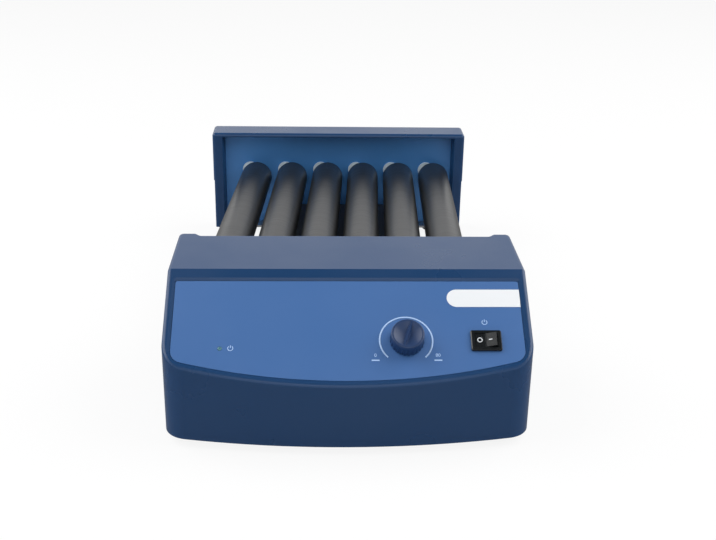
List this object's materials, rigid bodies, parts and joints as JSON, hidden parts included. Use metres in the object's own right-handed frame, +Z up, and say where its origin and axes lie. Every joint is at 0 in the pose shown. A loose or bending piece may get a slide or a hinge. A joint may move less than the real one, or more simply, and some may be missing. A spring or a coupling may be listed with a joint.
{
  "type": "tube roller mixer",
  "caption": "Bench mixer whose bed of skewed rollers, between a front housing with a sloped control panel and a rear housing, rolls and rocks sample tubes.",
  "frame": {"origin": "bench level under the middle of the outline, midway between the front face and the back", "axes": "+X to the right seen from the control panel, +Y from the control panel towards the rear housing, along the rollers, +Z up"},
  "size_m": [0.247, 0.445, 0.103],
  "materials": {
    "housing_blue": "dark blue moulded shell, fine satin texture",
    "panel_blue": "lighter blue printed sheet, satin",
    "label_white": "white printed plate, bare",
    "plate_blue": "blue powder coat, satin",
    "roller_black": "black satin coating with faint turning marks",
    "cap_black": "black moulded end caps",
    "steel": "plain steel, turned or zinc plated",
    "zinc_sheet": "zinc plated sheet",
    "acetal_white": "natural acetal",
    "knob_black": "black moulded, soft satin",
    "switch_black": "black moulded, semi-gloss",
    "lens_green": "dark green lamp, unlit",
    "motor_steel": "plated motor case",
    "board_green": "green solder resist",
    "parts_black": "black moulded component bodies",
    "lead_grey": "grey sleeved leads",
    "foot_rubber": "black rubber"
  },
  "bodies": {
    "frame": {"front_cover": "housing_blue", "rear_cover": "housing_blue", "panel_overlay": "panel_blue", "blank_label": "label_white", "speed_control": "parts_black", "control_nut": "steel", "switch_body": "switch_black", "power_led": "lens_green", "front_base": "zinc_sheet", "rear_base": "zinc_sheet", "front_plate": "plate_blue", "rear_plate": "plate_blue", "base_beam": "housing_blue", "roller_bushes": "acetal_white", "idler_axles": "steel", "motor_plate": "zinc_sheet", "motor_standoffs": "steel", "drive_motor": "motor_steel", "control_board": "board_green", "board_posts": "acetal_white", "board_parts": "parts_black", "internal_leads": "lead_grey", "power_jack": "parts_black", "case_screws": "steel", "rubber_feet": "foot_rubber"},
    "roller_1": {"roller_1_tube": "roller_black", "roller_1_caps": "cap_black", "roller_1_journals": "steel", "roller_1_gear": "acetal_white"},
    "roller_2": {"roller_2_tube": "roller_black", "roller_2_caps": "cap_black", "roller_2_journals": "steel", "roller_2_gear": "acetal_white"},
    "roller_3": {"roller_3_tube": "roller_black", "roller_3_caps": "cap_black", "roller_3_journals": "steel", "roller_3_gear": "acetal_white"},
    "roller_4": {"roller_4_tube": "roller_black", "roller_4_caps": "cap_black", "roller_4_journals": "steel", "roller_4_gear": "acetal_white"},
    "roller_5": {"roller_5_tube": "roller_black", "roller_5_caps": "cap_black", "roller_5_journals": "steel", "roller_5_gear": "acetal_white"},
    "roller_6": {"roller_6_tube": "roller_black", "roller_6_caps": "cap_black", "roller_6_journals": "steel", "roller_6_gear": "acetal_white"},
    "idler_1": {"idler_1_gear": "acetal_white"},
    "idler_2": {"idler_2_gear": "acetal_white"},
    "idler_3": {"idler_3_gear": "acetal_white"},
    "idler_4": {"idler_4_gear": "acetal_white"},
    "idler_5": {"idler_5_gear": "acetal_white"},
    "pinion": {"motor_pinion": "acetal_white", "motor_shaft": "steel"},
    "knob": {"speed_knob": "knob_black", "knob_shaft": "steel"},
    "rocker": {"switch_rocker": "switch_black"}
  },
  "joints": [
    {"name": "roller_1_spin", "type": "hinge", "parent": "frame", "child": "roller_1", "pos_m": [-0.0875, 0.0573, 0.063], "axis": [0, 1, 0], "continuous": true},
    {"name": "roller_2_spin", "type": "hinge", "parent": "frame", "child": "roller_2", "pos_m": [-0.0525, 0.0573, 0.063], "axis": [0, 1, 0], "continuous": true},
    {"name": "roller_3_spin", "type": "hinge", "parent": "frame", "child": "roller_3", "pos_m": [-0.0175, 0.0573, 0.063], "axis": [0, 1, 0], "continuous": true},
    {"name": "roller_4_spin", "type": "hinge", "parent": "frame", "child": "roller_4", "pos_m": [0.0175, 0.0573, 0.063], "axis": [0, 1, 0], "continuous": true},
    {"name": "roller_5_spin", "type": "hinge", "parent": "frame", "child": "roller_5", "pos_m": [0.0525, 0.0573, 0.063], "axis": [0, 1, 0], "continuous": true},
    {"name": "roller_6_spin", "type": "hinge", "parent": "frame", "child": "roller_6", "pos_m": [0.0875, 0.0573, 0.063], "axis": [0, 1, 0], "continuous": true},
    {"name": "idler_1_spin", "type": "hinge", "parent": "frame", "child": "idler_1", "pos_m": [-0.07, -0.099, 0.063], "axis": [0, 1, 0], "continuous": true},
    {"name": "idler_2_spin", "type": "hinge", "parent": "frame", "child": "idler_2", "pos_m": [-0.035, -0.099, 0.063], "axis": [0, 1, 0], "continuous": true},
    {"name": "idler_3_spin", "type": "hinge", "parent": "frame", "child": "idler_3", "pos_m": [0, -0.099, 0.063], "axis": [0, 1, 0], "continuous": true},
    {"name": "idler_4_spin", "type": "hinge", "parent": "frame", "child": "idler_4", "pos_m": [0.035, -0.099, 0.063], "axis": [0, 1, 0], "continuous": true},
    {"name": "idler_5_spin", "type": "hinge", "parent": "frame", "child": "idler_5", "pos_m": [0.07, -0.099, 0.063], "axis": [0, 1, 0], "continuous": true},
    {"name": "pinion_spin", "type": "hinge", "parent": "frame", "child": "pinion", "pos_m": [0, -0.099, 0.048], "axis": [0, 1, 0], "continuous": true},
    {"name": "speed_knob_turn", "type": "hinge", "parent": "frame", "child": "knob", "pos_m": [0.0387, -0.19448, 0.0708], "axis": [0, -0.5736, 0.8192], "range_deg": [-121.4, 156.6]},
    {"name": "power_switch_rock", "type": "hinge", "parent": "frame", "child": "rocker", "pos_m": [0.0916, -0.19476, 0.07085], "axis": [0, 0.8192, 0.5736], "range_deg": [0, 20]}
  ],
  "couplings": [
    {"joint": "roller_2_spin", "follows": "roller_1_spin", "ratio": 1},
    {"joint": "roller_3_spin", "follows": "roller_1_spin", "ratio": 1},
    {"joint": "roller_4_spin", "follows": "roller_1_spin", "ratio": 1},
    {"joint": "roller_5_spin", "follows": "roller_1_spin", "ratio": 1},
    {"joint": "roller_6_spin", "follows": "roller_1_spin", "ratio": 1},
    {"joint": "idler_1_spin", "follows": "roller_1_spin", "ratio": -1.3333},
    {"joint": "idler_2_spin", "follows": "roller_1_spin", "ratio": -1.3333},
    {"joint": "idler_3_spin", "follows": "roller_1_spin", "ratio": -1.3333},
    {"joint": "idler_4_spin", "follows": "roller_1_spin", "ratio": -1.3333},
    {"joint": "idler_5_spin", "follows": "roller_1_spin", "ratio": -1.3333},
    {"joint": "pinion_spin", "follows": "roller_1_spin", "ratio": 1.3333}
  ]
}
